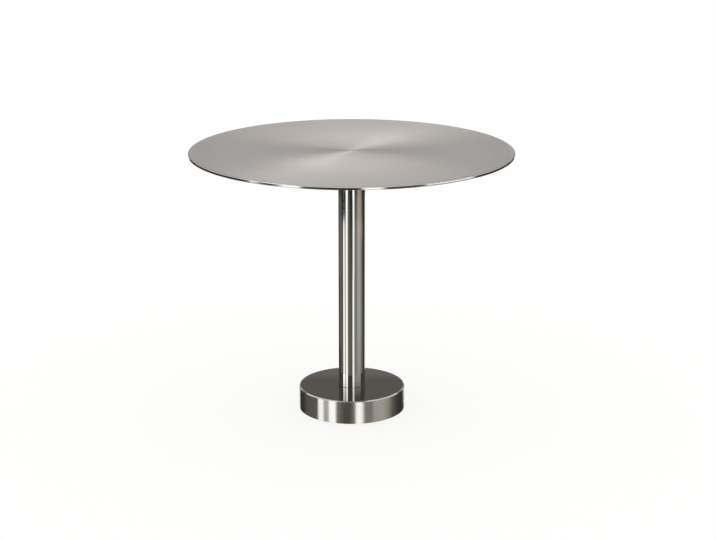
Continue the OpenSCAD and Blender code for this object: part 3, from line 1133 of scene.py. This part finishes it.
class SIDETABLE_OT_make_stage(Operator):
    """Lay the pale floor, set the camera and build the studio's light"""

    bl_idname = "side_table.make_stage"
    bl_label = "Stage"

    def execute(self, context):
        studio = context.scene.side_table_studio
        self.make_floor()
        self.make_camera(context, studio)
        self.make_light(context, studio)
        return {"FINISHED"}

    def make_floor(self):
        bpy.ops.mesh.primitive_plane_add(size=FLOOR_SIZE, location=(0, 0, CAD_BOX[0].z - FLOOR_GAP))
        floor = bpy.context.object
        floor.name = "floor"
        floor.visible_glossy = False
        floor.visible_shadow = False
        material, tree, shader = new_material("pale_floor", Roughness=0.9)
        shader.inputs["Base Color"].default_value = (0.22, 0.22, 0.22, 1)
        shader.inputs["Emission Color"].default_value = (0.80, 0.80, 0.795, 1)
        shader.inputs["Emission Strength"].default_value = 1.0
        shader.inputs["Specular IOR Level"].default_value = 0.0
        seen_from_below = add_node(tree, "ShaderNodeNewGeometry").outputs["Backfacing"]
        clear = add_node(tree, "ShaderNodeBsdfTransparent").outputs[0]
        mixed = add_node(
            tree, "ShaderNodeMixShader", {0: seen_from_below, 1: shader.outputs[0], 2: clear}
        ).outputs[0]
        tree.links.new(mixed, tree.nodes["Material Output"].inputs["Surface"])
        floor.data.materials.append(material)

    def make_camera(self, context, studio):
        bpy.ops.object.camera_add(
            location=(studio.aside, -studio.distance, studio.height),
            rotation=(math.pi / 2 - studio.pitch, 0, 0),
        )
        camera = context.object
        camera.name = "studio_camera"
        camera.data.lens = studio.lens
        camera.data.sensor_width = 36
        context.scene.camera = camera

    def make_light(self, context, studio):
        """A studio that surrounds the table: the metal mirrors its lights, and the rest sees even white."""
        world = bpy.data.worlds.new("studio")
        context.scene.world = world
        world.use_nodes = True
        world.cycles.sampling_method = "NONE"
        tree = world.node_tree
        way = add_node(tree, "ShaderNodeTexCoord").outputs["Generated"]
        parts = add_node(tree, "ShaderNodeSeparateXYZ", {0: way}).outputs
        ahead = math_node(tree, "MULTIPLY", parts["Y"], -1.0)
        azimuth = math_node(tree, "DEGREES", math_node(tree, "ARCTAN2", parts["X"], ahead))
        elevation = math_node(tree, "DEGREES", math_node(tree, "ARCSINE", parts["Z"]))

        behind = ramp(tree, math_node(tree, "ABSOLUTE", azimuth), *WALLS_MEET, 0, 1, "SMOOTHSTEP")
        front = wall(tree, elevation, FRONT_WALL)
        back = wall(tree, elevation, BACK_WALL)
        light = blend_colours(tree, behind, front, back)
        for centre, width, soft, low, high, level, tint in SOFTBOXES:
            mask = studio_strip(tree, azimuth, elevation, centre, width, soft, low, high)
            light = blend_colours(tree, mask, light, shade(tint, level))
        for key_way, level in ((LOW_KEY_WAY, studio.low_key), (HIGH_KEY_WAY, studio.high_key)):
            along = vector_node(tree, "DOT_PRODUCT", {0: way, 1: Vector(key_way).normalized()})["Value"]
            inner = math.cos(KEY_RADIUS * (1 - KEY_SOFTNESS))
            outer = math.cos(KEY_RADIUS * (1 + KEY_SOFTNESS))
            disc = ramp(tree, along, outer, inner, 0, 1, "SMOOTHSTEP")
            light = blend_colours(tree, disc, light, shade(KEY_TINT, level), "ADD")

        path = add_node(tree, "ShaderNodeLightPath").outputs
        even = blend_colours(tree, path["Is Glossy Ray"], EVEN_LIGHT, light)
        seen = blend_colours(tree, path["Is Camera Ray"], even, tuple(studio.backdrop))
        tree.links.new(seen, tree.nodes["Background"].inputs["Color"])
        context.scene.view_settings.view_transform = "Standard"


class SIDETABLE_PT_panel(Panel):
    """Lists the steps in the order in which they are taken, and every setting"""

    bl_idname = "SIDETABLE_PT_panel"
    bl_label = "Side Table"
    bl_space_type = "VIEW_3D"
    bl_region_type = "UI"
    bl_category = "Side Table"

    def draw(self, context):
        for operator in OPERATORS:
            self.layout.operator(operator.bl_idname)
        for group_name in ("side_table_sizes", "side_table_colours", "side_table_studio"):
            values = getattr(context.scene, group_name)
            for key in values.bl_rna.properties.keys():
                if key not in ("rna_type", "name"):
                    self.layout.prop(values, key)


OPERATORS = (
    SIDETABLE_OT_make_top,
    SIDETABLE_OT_make_post,
    SIDETABLE_OT_make_base,
    SIDETABLE_OT_make_floor_ring,
    SIDETABLE_OT_make_studs,
    SIDETABLE_OT_make_fixings,
    SIDETABLE_OT_make_underside,
    SIDETABLE_OT_finish_nodes,
    SIDETABLE_OT_make_stage,
)
CLASSES = (TableSizes, TableColours, StudioSettings, *OPERATORS, SIDETABLE_PT_panel)


def register():
    for cls in CLASSES:
        bpy.utils.register_class(cls)
    bpy.types.Scene.side_table_sizes = PointerProperty(type=TableSizes)
    bpy.types.Scene.side_table_colours = PointerProperty(type=TableColours)
    bpy.types.Scene.side_table_studio = PointerProperty(type=StudioSettings)


def unregister():
    del bpy.types.Scene.side_table_studio
    del bpy.types.Scene.side_table_colours
    del bpy.types.Scene.side_table_sizes
    for cls in reversed(CLASSES):
        bpy.utils.unregister_class(cls)


def main():
    register()
    for operator in OPERATORS:
        category, name = operator.bl_idname.split(".")
        getattr(getattr(bpy.ops, category), name)()


if __name__ == "__main__":
    main()
